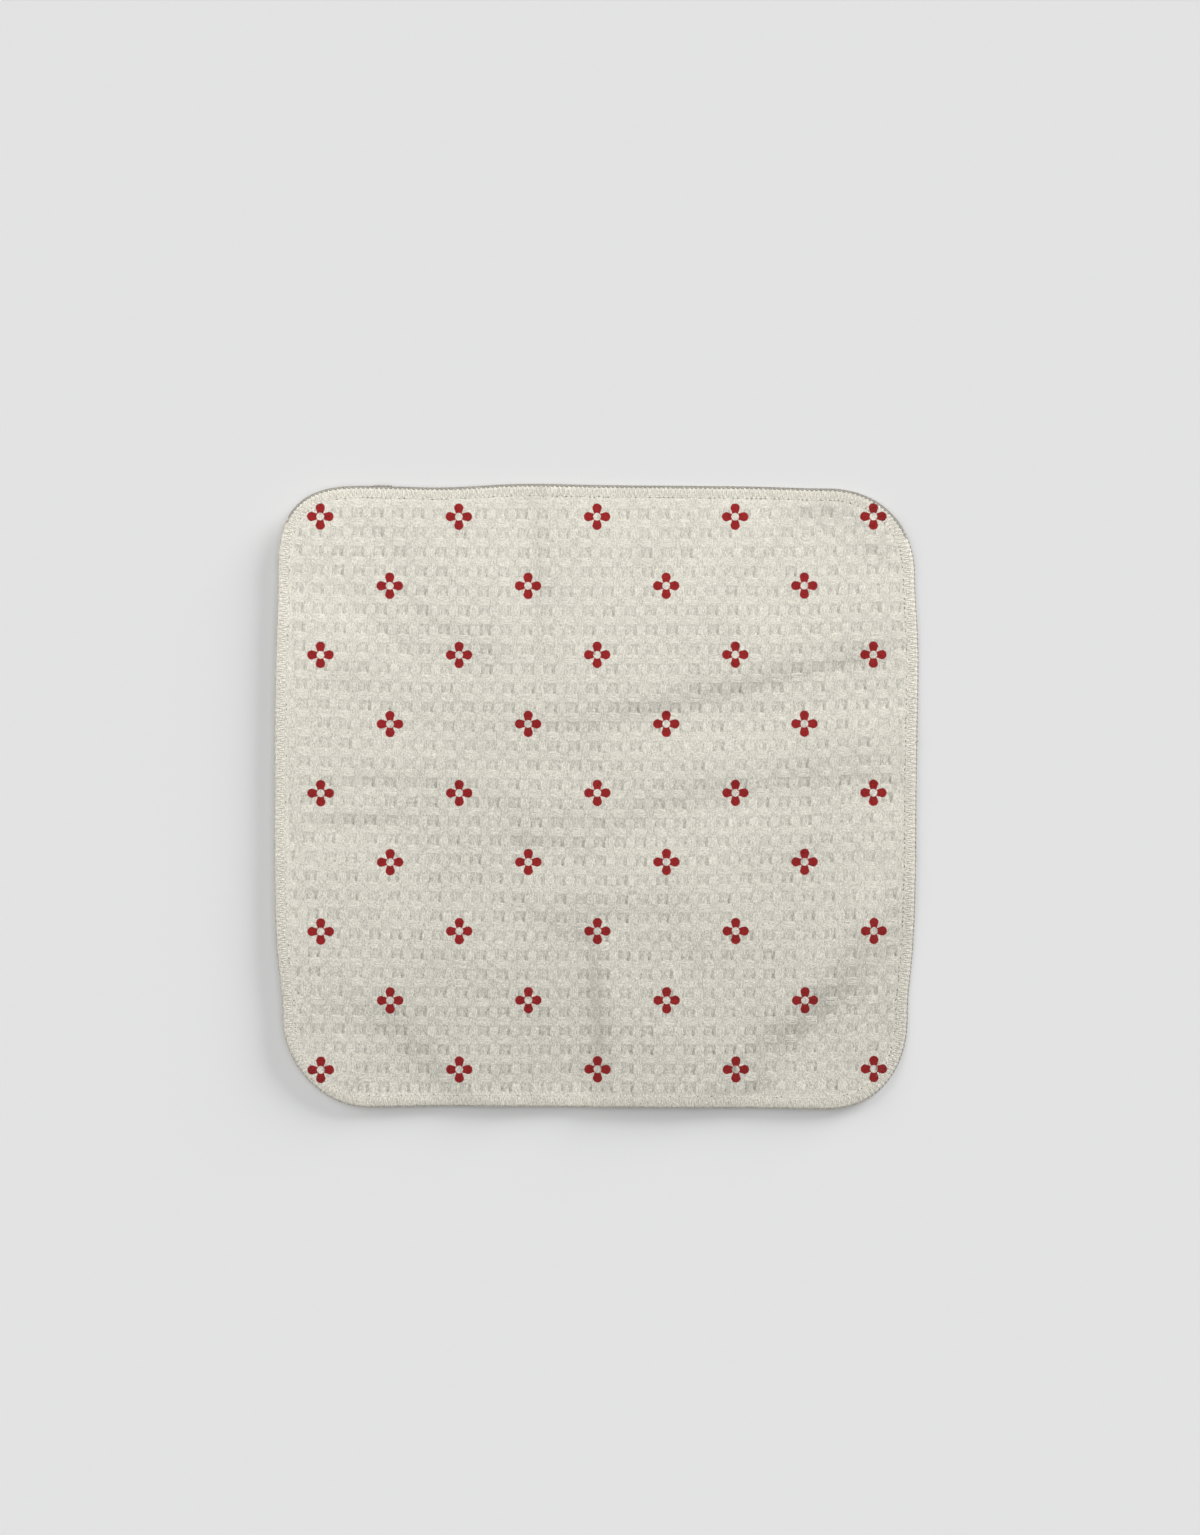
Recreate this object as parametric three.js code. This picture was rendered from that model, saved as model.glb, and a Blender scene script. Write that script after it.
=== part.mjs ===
// A square waffle-weave dishcloth with rounded corners, lying loose on a flat surface.
// Millimetres, +Z up. The origin is the middle of the cloth's bounding box, on the surface it lies on.
// +X runs to the right and +Y to the top of the cloth as it is seen from above.
//
// The cloth is one closed sheet: an underside that rests at z = 0 along its deeper creases and rises
// in soft pillows between them, and a face one cloth thickness above it.

import * as THREE from "three";
import { mergeVertices } from "three/addons/utils/BufferGeometryUtils.js";

// ---- driving dimensions (mm) ----
const HALF_X = 152.5; // half the width of the cloth as it lies
const HALF_Y = 148.1; // half its height, top edge to bottom edge
const CORNER_R = 44; // each corner takes up this much of its two edges
const THICK = 2.2; // cloth thickness, from the floor of its underside to the top of the weave's ribs
const BASE = 3.0; // how high the cloth stands between creases, before it settles
const SETTLE = 0.5; // the last part of a fall to the surface is rounded over this height
const EDGE_BAND = 40; // the edge's own lift fades out over this distance inwards
const EDGE_SOFT = 14; // a crease runs out towards the edge over this distance
const EDGE_KEEP = 0.35; // the share of a crease's depth that is left right at the edge
const EDGE_R = 33; // the edge's lift and softness follow a plain rounded rectangle with this corner radius
const ROUND_FROM = 0.7; // inside this share of the half size the mesh is a plain grid
const COLUMNS = 48; // quads across
const ROWS = 46; // quads from bottom to top

// How far each edge draws in from the straight, at stations spaced evenly between the corners.
// left and right run from bottom to top, bottom and top run from left to right.
const DRAW_IN = {
  left: [3.8, 0.9, 0.0, 0.0, 0.1, 0.7, 1.7],
  right: [5.1, 2.4, 1.2, 1.0, 0.4, 0.0, 1.6],
  bottom: [0.9, 1.4, 1.2, 0.9, 0.6, 0.5, 0.0],
  top: [1.0, 1.7, 0.0, 0.5, 0.8, 1.1, 2.1],
};

// How square each corner is: 2 is a quarter of a circle or an ellipse, and more is fuller.
const CORNERS = [
  { x: -1, y: 1, square: 2.92 },
  { x: 1, y: 1, square: 2.18 },
  { x: 1, y: -1, square: 2.21 },
  { x: -1, y: -1, square: 1.94 },
];

// How high each edge is held, at stations spaced evenly from corner to corner.
const LIFT = {
  left: [8.1, 8.1, 8.0, 7.8, 7.8, 8.4],
  bottom: [6.8, 5.6, 5.6, 6.5, 5.7, 3.7],
  right: [1.4, 0.5, 1.2, 1.0, 0.7, 1.0],
  top: [7.2, 3.6, 2.9, 1.2, 1.3, 3.2],
};

// One row for each crease: a smooth line through four places, how deep it is, how wide its steep wall
// (on the left of the line's travel) and its gentle side are, and how soon it fades at its two ends.
const CREASES = [
  { name: "right_upper", x0: -41, y0: 26, x1: 24, y1: 35, x2: 81, y2: 48, x3: 159, y3: 67, depth: 2.5, steep: 8.5, gentle: 19, fadeIn: 75, fadeOut: 10 },
  { name: "right_lower", x0: -3, y0: -23, x1: 46, y1: -6, x2: 99, y2: 2, x3: 142, y3: 0, depth: 1.9, steep: 10.6, gentle: 23, fadeIn: 45, fadeOut: 19 },
  { name: "left_long", x0: -149, y0: -20, x1: -84, y1: -16, x2: -36, y2: -27, x3: 23, y3: -34, depth: 1.8, steep: 7.8, gentle: 40, fadeIn: 5, fadeOut: 31 },
  { name: "left_short", x0: -146, y0: -19, x1: -129, y1: -1, x2: -78, y2: 2, x3: -20, y3: -17, depth: 1.2, steep: 7.7, gentle: 21, fadeIn: 17, fadeOut: 28 },
  { name: "middle_short", x0: -35, y0: -19, x1: -6, y1: -17, x2: 10, y2: -20, x3: 34, y3: -5, depth: 1.6, steep: 9.6, gentle: 14, fadeIn: 20, fadeOut: 29 },
  { name: "left_slant", x0: -130, y0: 70, x1: -93, y1: 40, x2: -44, y2: 17, x3: 28, y3: 7, depth: 1.3, steep: 12.8, gentle: 17, fadeIn: 36, fadeOut: 41 },
  { name: "left_faint", x0: -131, y0: 108, x1: -90, y1: 69, x2: -73, y2: 44, x3: 1, y3: 27, depth: 0.4, steep: 6.1, gentle: 9, fadeIn: 26, fadeOut: 6 },
  { name: "corner_curve", x0: -157, y0: 98, x1: -120, y1: 97, x2: -93, y2: 68, x3: -24, y3: 57, depth: 1.1, steep: 11.8, gentle: 14, fadeIn: 11, fadeOut: 40 },
  { name: "corner_faint", x0: -120, y0: 137, x1: -98, y1: 115, x2: -79, y2: 101, x3: -61, y3: 84, depth: 0.3, steep: 6.2, gentle: 9, fadeIn: 19, fadeOut: 25 },
  { name: "top_middle", x0: -26, y0: 151, x1: -31, y1: 130, x2: -30, y2: 94, x3: -33, y3: 32, depth: 1.5, steep: 4.5, gentle: 10, fadeIn: 8, fadeOut: 64 },
  { name: "top_right_1", x0: 19, y0: 152, x1: 15, y1: 133, x2: 17, y2: 115, x3: 16, y3: 86, depth: 0.9, steep: 5.7, gentle: 12, fadeIn: 9, fadeOut: 32 },
  { name: "top_right_2", x0: 80, y0: 155, x1: 55, y1: 141, x2: 52, y2: 127, x3: 19, y3: 90, depth: 2.4, steep: 11.7, gentle: 13, fadeIn: 5, fadeOut: 51 },
  { name: "top_right_3", x0: 107, y0: 133, x1: 90, y1: 114, x2: 82, y2: 92, x3: 53, y3: 95, depth: 1.2, steep: 11.4, gentle: 18, fadeIn: 20, fadeOut: 28 },
  { name: "foot_slant", x0: -59, y0: -37, x1: -46, y1: -51, x2: -24, y2: -64, x3: 4, y3: -76, depth: 1.1, steep: 6.6, gentle: 14, fadeIn: 46, fadeOut: 14 },
  { name: "foot_middle", x0: -8, y0: -45, x1: -5, y1: -76, x2: -2, y2: -131, x3: -13, y3: -160, depth: 4.1, steep: 5.2, gentle: 36, fadeIn: 56, fadeOut: 5 },
  { name: "centre_flat", x0: -25, y0: -52, x1: 9, y1: -59, x2: 36, y2: -60, x3: 67, y3: -67, depth: 0.9, steep: 7.2, gentle: 20, fadeIn: 13, fadeOut: 35 },
  { name: "centre_hook", x0: 2, y0: -73, x1: 42, y1: -73, x2: 45, y2: -81, x3: 53, y3: -112, depth: 0.8, steep: 4.8, gentle: 22, fadeIn: 22, fadeOut: 33 },
  { name: "foot_right", x0: 60, y0: -117, x1: 95, y1: -119, x2: 121, y2: -90, x3: 121, y3: -47, depth: 5.7, steep: 10.3, gentle: 26, fadeIn: 61, fadeOut: 67 },
  { name: "foot_right_end", x0: 51, y0: -159, x1: 56, y1: -147, x2: 60, y2: -152, x3: 88, y3: -134, depth: 3.4, steep: 4.5, gentle: 12, fadeIn: 9, fadeOut: 21 },
  { name: "foot_left", x0: -152, y0: -104, x1: -106, y1: -112, x2: -91, y2: -125, x3: -68, y3: -157, depth: 4.8, steep: 11.8, gentle: 40, fadeIn: 118, fadeOut: 5 },
  { name: "foot_faint", x0: -86, y0: -79, x1: -58, y1: -95, x2: -38, y2: -107, x3: -22, y3: -109, depth: 0.6, steep: 9.9, gentle: 23, fadeIn: 6, fadeOut: 6 },
  { name: "right_faint", x0: 93, y0: -23, x1: 96, y1: -31, x2: 118, y2: -30, x3: 142, y3: -40, depth: 0.9, steep: 7.9, gentle: 18, fadeIn: 15, fadeOut: 12 },
  { name: "corner_right", x0: 92, y0: 135, x1: 111, y1: 121, x2: 125, y2: 115, x3: 143, y3: 104, depth: 1.7, steep: 6.7, gentle: 27, fadeIn: 7, fadeOut: 15 },
  { name: "ripple_1", x0: -129, y0: 132, x1: -103, y1: 120, x2: -90, y2: 94, x3: -64, y3: 72, depth: 0.4, steep: 5, gentle: 5, fadeIn: 23, fadeOut: 7 },
  { name: "ripple_2", x0: -142, y0: 110, x1: -113, y1: 112, x2: -97, y2: 94, x3: -69, y3: 69, depth: 0.5, steep: 4.5, gentle: 8, fadeIn: 15, fadeOut: 20 },
  { name: "right_notch", x0: 119, y0: 26, x1: 126, y1: 14, x2: 138, y2: 18, x3: 147, y3: 23, depth: 0.8, steep: 5.8, gentle: 11, fadeIn: 11, fadeOut: 15 },
  { name: "right_notch_2", x0: 116, y0: 9, x1: 124, y1: 4, x2: 139, y2: 3, x3: 151, y3: 4, depth: 0.9, steep: 5.1, gentle: 10, fadeIn: 5, fadeOut: 6 },
  { name: "corner_right_2", x0: 98, y0: 141, x1: 114, y1: 131, x2: 130, y2: 125, x3: 135, y3: 119, depth: 1, steep: 4.5, gentle: 7, fadeIn: 18, fadeOut: 19 },
];

// One row for each soft pillow between the creases: its middle, how much it rises, its two
// half-widths and how far it is turned, in degrees.
const PILLOWS = [
  { x: 97, y: 41, rise: -0.7, across: 48, along: 23, turn: 31 },
  { x: -121, y: -53, rise: 3, across: 28, along: 80, turn: -1 },
  { x: 90, y: -130, rise: 2.5, across: 72, along: 54, turn: 5 },
  { x: -20, y: -74, rise: 3.2, across: 60, along: 80, turn: 2 },
  { x: 111, y: -78, rise: 3.2, across: 80, along: 14, turn: 47 },
  { x: 134, y: -44, rise: 3.2, across: 12, along: 51, turn: -8 },
  { x: 28, y: 99, rise: -1.1, across: 45, along: 29, turn: 20 },
  { x: -132, y: 107, rise: 3.2, across: 38, along: 52, turn: 14 },
  { x: -59, y: -33, rise: -2.8, across: 67, along: 59, turn: 0 },
];

// ---- small helpers ----
const clamp01 = (t) => Math.min(1, Math.max(0, t));
const smooth = (t) => {
  t = clamp01(t);
  return t * t * (3 - 2 * t);
};
const smoother = (t) => {
  t = clamp01(t);
  return t * t * t * (10 + t * (-15 + 6 * t));
};

// A value read from evenly spaced stations, eased from one to the next.
function along(table, t) {
  t = clamp01(t) * (table.length - 1);
  const i = Math.min(Math.floor(t), table.length - 2);
  const f = smooth(t - i);
  return table[i] * (1 - f) + table[i + 1] * f;
}

// The same as one smooth line through the stations, level at both ends.
function curve(table, t) {
  t = clamp01(t) * (table.length - 1);
  const i = Math.min(Math.floor(t), table.length - 2);
  const f = t - i;
  const [p, q, r, s] = [table[1], ...table, table[table.length - 2]].slice(i, i + 4);
  return 0.5 * (2 * q + (r - p) * f + (2 * p - 5 * q + 4 * r - s) * f * f + (3 * q - p - 3 * r + s) * f * f * f);
}

// ---- the outline ----
// Takes a point on the edge of the plain rectangle and gives its place on the cloth's real edge.
function onOutline(x, y) {
  const straightX = HALF_X - CORNER_R;
  const straightY = HALF_Y - CORNER_R;
  const sideX = x < 0 ? DRAW_IN.left : DRAW_IN.right;
  const sideY = y < 0 ? DRAW_IN.bottom : DRAW_IN.top;
  const sx = Math.sign(x);
  const sy = Math.sign(y);
  if (Math.abs(x) > straightX && Math.abs(y) > straightY) {
    const vx = Math.abs(x) - straightX;
    const vy = Math.abs(y) - straightY;
    const run = vx >= CORNER_R - 1e-9 ? vy / (2 * CORNER_R) : 1 - vx / (2 * CORNER_R);
    const angle = (run * Math.PI) / 2;
    const corner = CORNERS.find((c) => c.x === sx && c.y === sy);
    const reach = (Math.cos(angle) ** corner.square + Math.sin(angle) ** corner.square) ** (-1 / corner.square);
    const drawX = curve(sideX, sy < 0 ? 0 : 1);
    const drawY = curve(sideY, sx < 0 ? 0 : 1);
    return [
      sx * (straightX + (CORNER_R - drawX) * Math.cos(angle) * reach),
      sy * (straightY + (CORNER_R - drawY) * Math.sin(angle) * reach),
    ];
  }
  if (Math.abs(y) <= straightY) {
    return [x - sx * curve(sideX, (y + straightY) / (2 * straightY)), y];
  }
  return [x, y - sy * curve(sideY, (x + straightX) / (2 * straightX))];
}

// Takes a and b, from -1 to 1 across the cloth, to a place on it: a plain grid inside, which turns
// into the outline towards the edge.
function place(a, b) {
  const ring = Math.max(Math.abs(a), Math.abs(b));
  const x = a * HALF_X;
  const y = b * HALF_Y;
  const weight = smooth((ring - ROUND_FROM) / (1 - ROUND_FROM));
  if (weight === 0) return [x, y];
  const edge = [(a / ring) * HALF_X, (b / ring) * HALF_Y];
  const real = onOutline(edge[0], edge[1]);
  return [x + (real[0] - edge[0]) * weight, y + (real[1] - edge[1]) * weight];
}

// ---- how the cloth lies ----
// The line of a crease as short straight steps, by a Catmull-Rom curve through its four places.
function creaseLine(row) {
  const given = [
    [row.x0, row.y0],
    [row.x1, row.y1],
    [row.x2, row.y2],
    [row.x3, row.y3],
  ];
  const first = [2 * given[0][0] - given[1][0], 2 * given[0][1] - given[1][1]];
  const last = [2 * given[3][0] - given[2][0], 2 * given[3][1] - given[2][1]];
  const knots = [first, ...given, last];
  const steps = 12;
  const points = [];
  for (let k = 0; k < 3; k++) {
    const [p, q, r, s] = knots.slice(k, k + 4);
    for (let j = 0; j < steps; j++) {
      const t = k === 2 ? j / (steps - 1) : j / steps;
      const at = (i) =>
        0.5 *
        (2 * q[i] + (r[i] - p[i]) * t + (2 * p[i] - 5 * q[i] + 4 * r[i] - s[i]) * t * t + (3 * q[i] - p[i] - 3 * r[i] + s[i]) * t * t * t);
      points.push([at(0), at(1)]);
    }
  }
  const pieces = [];
  let run = 0;
  for (let i = 0; i + 1 < points.length; i++) {
    const [x, y] = points[i];
    const dx = points[i + 1][0] - x;
    const dy = points[i + 1][1] - y;
    const length = Math.hypot(dx, dy);
    pieces.push({ x, y, ux: dx / length, uy: dy / length, length, run });
    run += length;
  }
  return { row, pieces, total: run };
}

const creaseLines = CREASES.map(creaseLine);

// How much one crease lowers the cloth at a place.
function creaseDepth({ row, pieces, total }, x, y) {
  let best = Infinity;
  let side = 0;
  let station = 0;
  for (const piece of pieces) {
    const dx = x - piece.x;
    const dy = y - piece.y;
    const t = Math.min(piece.length, Math.max(0, dx * piece.ux + dy * piece.uy));
    const distance = Math.hypot(dx - t * piece.ux, dy - t * piece.uy);
    if (distance < best) {
      best = distance;
      side = (piece.ux * dy - piece.uy * dx) / Math.max(distance, 1e-6);
      station = piece.run + t;
    }
  }
  const steepShare = 0.5 + 0.5 * Math.min(1, Math.max(-1, side));
  const width = row.steep * steepShare + row.gentle * (1 - steepShare);
  const ends = smooth(station / row.fadeIn) * smooth((total - station) / row.fadeOut);
  return row.depth * Math.exp(-((best / width) ** 2)) * ends;
}

// Height of the underside above the surface.
function underside(x, y) {
  let creases = 0;
  for (const line of creaseLines) creases += creaseDepth(line, x, y);

  let high = BASE;
  for (const p of PILLOWS) {
    const turn = (p.turn * Math.PI) / 180;
    const u = (x - p.x) * Math.cos(turn) + (y - p.y) * Math.sin(turn);
    const v = -(x - p.x) * Math.sin(turn) + (y - p.y) * Math.cos(turn);
    high += p.rise * Math.exp(-((u / p.across) ** 2) - (v / p.along) ** 2);
  }

  // distance inwards from the plain rounded rectangle
  const qx = Math.abs(x) - (HALF_X - EDGE_R);
  const qy = Math.abs(y) - (HALF_Y - EDGE_R);
  const inwards = EDGE_R - Math.hypot(Math.max(qx, 0), Math.max(qy, 0)) - Math.min(Math.max(qx, qy), 0);

  // the lift of the four edges, each counting more the nearer it is
  const tx = (x + HALF_X) / (2 * HALF_X);
  const ty = (y + HALF_Y) / (2 * HALF_Y);
  const edges = [
    [x + HALF_X, along(LIFT.left, ty)],
    [HALF_X - x, along(LIFT.right, ty)],
    [y + HALF_Y, along(LIFT.bottom, tx)],
    [HALF_Y - y, along(LIFT.top, tx)],
  ];
  let share = 0;
  let lift = 0;
  for (const [distance, value] of edges) {
    const weight = 1 / (Math.max(distance, 0) + 6) ** 2;
    share += weight;
    lift += weight * value;
  }
  lift /= share;

  const inner = smoother(inwards / EDGE_BAND);
  const z = high * inner + lift * (1 - inner) - creases * (EDGE_KEEP + (1 - EDGE_KEEP) * smooth(inwards / EDGE_SOFT));
  if (z <= 0) return 0;
  return z < 2 * SETTLE ? (z * z) / (4 * SETTLE) : z - SETTLE;
}

// ---- the closed sheet ----
function clothGeometry() {
  const positions = [];
  const indices = [];
  const across = COLUMNS + 1;
  const layer = across * (ROWS + 1);
  const spots = [];
  for (let j = 0; j <= ROWS; j++) {
    for (let i = 0; i <= COLUMNS; i++) {
      const [x, y] = place((2 * i) / COLUMNS - 1, (2 * j) / ROWS - 1);
      spots.push([x, y, underside(x, y)]);
    }
  }
  for (const [x, y, z] of spots) positions.push(x, y, z + THICK);
  for (const [x, y, z] of spots) positions.push(x, y, z);

  // Each quad is split along the diagonal that follows the surface best.
  for (let j = 0; j < ROWS; j++) {
    for (let i = 0; i < COLUMNS; i++) {
      const a = j * across + i;
      const b = a + 1;
      const c = a + across + 1;
      const d = a + across;
      const [x, y] = place((2 * i + 1) / COLUMNS - 1, (2 * j + 1) / ROWS - 1);
      const middle = underside(x, y);
      const missAC = Math.abs((spots[a][2] + spots[c][2]) / 2 - middle);
      const missBD = Math.abs((spots[b][2] + spots[d][2]) / 2 - middle);
      const triangles = missAC <= missBD ? [[a, b, c], [a, c, d]] : [[a, b, d], [b, c, d]];
      for (const [p, q, r] of triangles) {
        indices.push(p, q, r);
        indices.push(p + layer, r + layer, q + layer);
      }
    }
  }

  // the rim, round the outline
  const rim = [];
  for (let i = 0; i < COLUMNS; i++) rim.push(i);
  for (let j = 0; j < ROWS; j++) rim.push(j * across + COLUMNS);
  for (let i = COLUMNS; i > 0; i--) rim.push(ROWS * across + i);
  for (let j = ROWS; j > 0; j--) rim.push(j * across);
  for (let k = 0; k < rim.length; k++) {
    const p = rim[k];
    const q = rim[(k + 1) % rim.length];
    indices.push(p + layer, q + layer, q);
    indices.push(p + layer, q, p);
  }

  let geometry = new THREE.BufferGeometry();
  geometry.setAttribute("position", new THREE.Float32BufferAttribute(positions, 3));
  geometry.setIndex(indices);
  geometry = mergeVertices(geometry, 1e-5);
  geometry.computeVertexNormals();
  return geometry;
}

const cloth = new THREE.Mesh(
  clothGeometry(),
  new THREE.MeshStandardMaterial({ color: 0xdedace, roughness: 0.95, metalness: 0 }),
);
cloth.name = "cloth";

const dishcloth = new THREE.Group();
dishcloth.name = "dishcloth";
dishcloth.add(cloth);

export default dishcloth;
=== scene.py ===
import math

import bpy
import numpy as np
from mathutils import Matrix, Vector
from mathutils.geometry import delaunay_2d_cdt


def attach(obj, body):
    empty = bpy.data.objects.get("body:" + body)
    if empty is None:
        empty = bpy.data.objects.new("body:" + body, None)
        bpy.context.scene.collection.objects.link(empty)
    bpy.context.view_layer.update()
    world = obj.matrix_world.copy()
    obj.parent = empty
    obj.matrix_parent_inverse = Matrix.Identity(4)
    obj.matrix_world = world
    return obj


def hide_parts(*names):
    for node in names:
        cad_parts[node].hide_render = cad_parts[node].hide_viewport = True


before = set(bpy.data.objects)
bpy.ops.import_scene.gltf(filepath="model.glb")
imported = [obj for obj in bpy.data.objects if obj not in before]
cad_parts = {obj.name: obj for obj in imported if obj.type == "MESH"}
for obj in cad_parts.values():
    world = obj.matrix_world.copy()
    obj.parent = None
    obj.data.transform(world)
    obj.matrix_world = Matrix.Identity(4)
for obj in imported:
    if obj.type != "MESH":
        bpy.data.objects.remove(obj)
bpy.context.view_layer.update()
MM = 0.001

# ---------------------------------------------------------------- the lying shape, as in the CAD part
HALF_X, HALF_Y, CORNER_R = 152.5, 148.1, 44.0
BASE, SETTLE = 3.0, 0.5
EDGE_BAND, EDGE_SOFT, EDGE_KEEP, EDGE_R = 40.0, 14.0, 0.35, 33.0

DRAW_IN = {  # left and right from bottom to top, bottom and top from left to right
    "left": [3.8, 0.9, 0.0, 0.0, 0.1, 0.7, 1.7],
    "right": [5.1, 2.4, 1.2, 1.0, 0.4, 0.0, 1.6],
    "bottom": [0.9, 1.4, 1.2, 0.9, 0.6, 0.5, 0.0],
    "top": [1.0, 1.7, 0.0, 0.5, 0.8, 1.1, 2.1],
}
CORNER_SQUARE = {(-1, 1): 2.92, (1, 1): 2.18, (1, -1): 2.21, (-1, -1): 1.94}
LIFT = {
    "left": [8.1, 8.1, 8.0, 7.8, 7.8, 8.4],
    "bottom": [6.8, 5.6, 5.6, 6.5, 5.7, 3.7],
    "right": [1.4, 0.5, 1.2, 1.0, 0.7, 1.0],
    "top": [7.2, 3.6, 2.9, 1.2, 1.3, 3.2],
}
# name, four places along the crease, depth, width of the steep wall and of the gentle side, fades
CREASES = [
    ("right_upper", -41, 26, 24, 35, 81, 48, 159, 67, 2.5, 8.5, 19, 75, 10),
    ("right_lower", -3, -23, 46, -6, 99, 2, 142, 0, 1.9, 10.6, 23, 45, 19),
    ("left_long", -149, -20, -84, -16, -36, -27, 23, -34, 1.8, 7.8, 40, 5, 31),
    ("left_short", -146, -19, -129, -1, -78, 2, -20, -17, 1.2, 7.7, 21, 17, 28),
    ("middle_short", -35, -19, -6, -17, 10, -20, 34, -5, 1.6, 9.6, 14, 20, 29),
    ("left_slant", -130, 70, -93, 40, -44, 17, 28, 7, 1.3, 12.8, 17, 36, 41),
    ("left_faint", -131, 108, -90, 69, -73, 44, 1, 27, 0.4, 6.1, 9, 26, 6),
    ("corner_curve", -157, 98, -120, 97, -93, 68, -24, 57, 1.1, 11.8, 14, 11, 40),
    ("corner_faint", -120, 137, -98, 115, -79, 101, -61, 84, 0.3, 6.2, 9, 19, 25),
    ("top_middle", -26, 151, -31, 130, -30, 94, -33, 32, 1.5, 4.5, 10, 8, 64),
    ("top_right_1", 19, 152, 15, 133, 17, 115, 16, 86, 0.9, 5.7, 12, 9, 32),
    ("top_right_2", 80, 155, 55, 141, 52, 127, 19, 90, 2.4, 11.7, 13, 5, 51),
    ("top_right_3", 107, 133, 90, 114, 82, 92, 53, 95, 1.2, 11.4, 18, 20, 28),
    ("foot_slant", -59, -37, -46, -51, -24, -64, 4, -76, 1.1, 6.6, 14, 46, 14),
    ("foot_middle", -8, -45, -5, -76, -2, -131, -13, -160, 4.1, 5.2, 36, 56, 5),
    ("centre_flat", -25, -52, 9, -59, 36, -60, 67, -67, 0.9, 7.2, 20, 13, 35),
    ("centre_hook", 2, -73, 42, -73, 45, -81, 53, -112, 0.8, 4.8, 22, 22, 33),
    ("foot_right", 60, -117, 95, -119, 121, -90, 121, -47, 5.7, 10.3, 26, 61, 67),
    ("foot_right_end", 51, -159, 56, -147, 60, -152, 88, -134, 3.4, 4.5, 12, 9, 21),
    ("foot_left", -152, -104, -106, -112, -91, -125, -68, -157, 4.8, 11.8, 40, 118, 5),
    ("foot_faint", -86, -79, -58, -95, -38, -107, -22, -109, 0.6, 9.9, 23, 6, 6),
    ("right_faint", 93, -23, 96, -31, 118, -30, 142, -40, 0.9, 7.9, 18, 15, 12),
    ("corner_right", 92, 135, 111, 121, 125, 115, 143, 104, 1.7, 6.7, 27, 7, 15),
    ("ripple_1", -129, 132, -103, 120, -90, 94, -64, 72, 0.4, 5, 5, 23, 7),
    ("ripple_2", -142, 110, -113, 112, -97, 94, -69, 69, 0.5, 4.5, 8, 15, 20),
    ("right_notch", 119, 26, 126, 14, 138, 18, 147, 23, 0.8, 5.8, 11, 11, 15),
    ("right_notch_2", 116, 9, 124, 4, 139, 3, 151, 4, 0.9, 5.1, 10, 5, 6),
    ("corner_right_2", 98, 141, 114, 131, 130, 125, 135, 119, 1, 4.5, 7, 18, 19),
]
# x, y, rise, half-widths across and along, turn in degrees
PILLOWS = [
    (97, 41, -0.7, 48, 23, 31),
    (-121, -53, 3, 28, 80, -1),
    (90, -130, 2.5, 72, 54, 5),
    (-20, -74, 3.2, 60, 80, 2),
    (111, -78, 3.2, 80, 14, 47),
    (134, -44, 3.2, 12, 51, -8),
    (28, 99, -1.1, 45, 29, 20),
    (-132, 107, 3.2, 38, 52, 14),
    (-59, -33, -2.8, 67, 59, 0),
]

# ---------------------------------------------------------------- the weave and the edge
# Weave coordinates count cells: u to the right, v downwards.
U_0, U_X, U_Y = -0.00487, 0.102189, 0.004568
V_0, V_X, V_Y = 0.24899, 0.00012, -0.110341
U_LINES = [0.25, 0.42, 0.62, 0.68, 0.74, 0.90, 1.03, 1.10, 1.19]  # mesh lines in one cell, face
V_LINES = [0.14, 0.25, 0.37, 0.50, 0.61, 0.69, 0.77, 0.96]
U_LINES_UNDER = [0.20, 0.44, 0.68, 0.94]
V_LINES_UNDER = [0.14, 0.30, 0.61, 0.77]
LEVEL = 1.45  # the plain part of the face above the underside's lowest points
PIT = 0.35  # how far the slot at a pit's right side lies below that, at its lower end
PIT_LEFT = 0.60  # the slot at its left side, as a share of that
PIT_MIDDLE = 0.20  # the middle of its floor, as a share of that
FLOAT_RISE = 0.02  # how far the middle line of a float lies above the plain part
FLOAT_END = -0.01  # and at its two ends
UPRIGHT_HALF_H, ACROSS_HALF_H = 0.12, 0.10
UNDER_PIT = 0.35  # hollows in the underside
BAND = 4.9  # width of the flat band along the edge
BAND_LEVEL = 1.36
STITCH = 2.2  # pitch of the edge stitches
OVERLAP = (-111.0, -97.0)  # on the top edge, the stitching's end lies over its beginning here
THREAD_END = (152.5, 25.7)  # a short end of thread stands out here
BAND_PAINTED_SHADE = -0.38  # the band takes none of the painted shade of the weave's hollows, and is a little paler than the plain part

FLOWER_X, FLOWER_Y = 0.26, 1.71  # middle of the middle flower
FLOWER_STEP_X, FLOWER_STEP_Y = 65.62, 65.60  # two square lattices, half a step apart
FLOWER_TURN = 0.00085  # the print lies this much anticlockwise, in radians
PETAL_AT, PETAL_R, PETAL_INNER, PETAL_TAPER = 4.05, 2.25, 1.80, 0.33  # round end's centre and radius, inner end, narrowing

# ---------------------------------------------------------------- helpers


def smooth(t):
    t = np.clip(t, 0, 1)
    return t * t * (3 - 2 * t)


def smoother(t):
    t = np.clip(t, 0, 1)
    return t * t * t * (10 + t * (-15 + 6 * t))


def along(table, t):
    table = np.array(table, float)
    t = np.clip(t, 0, 1) * (len(table) - 1)
    i = np.minimum(t.astype(int), len(table) - 2)
    f = smooth(t - i)
    return table[i] * (1 - f) + table[i + 1] * f


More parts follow.
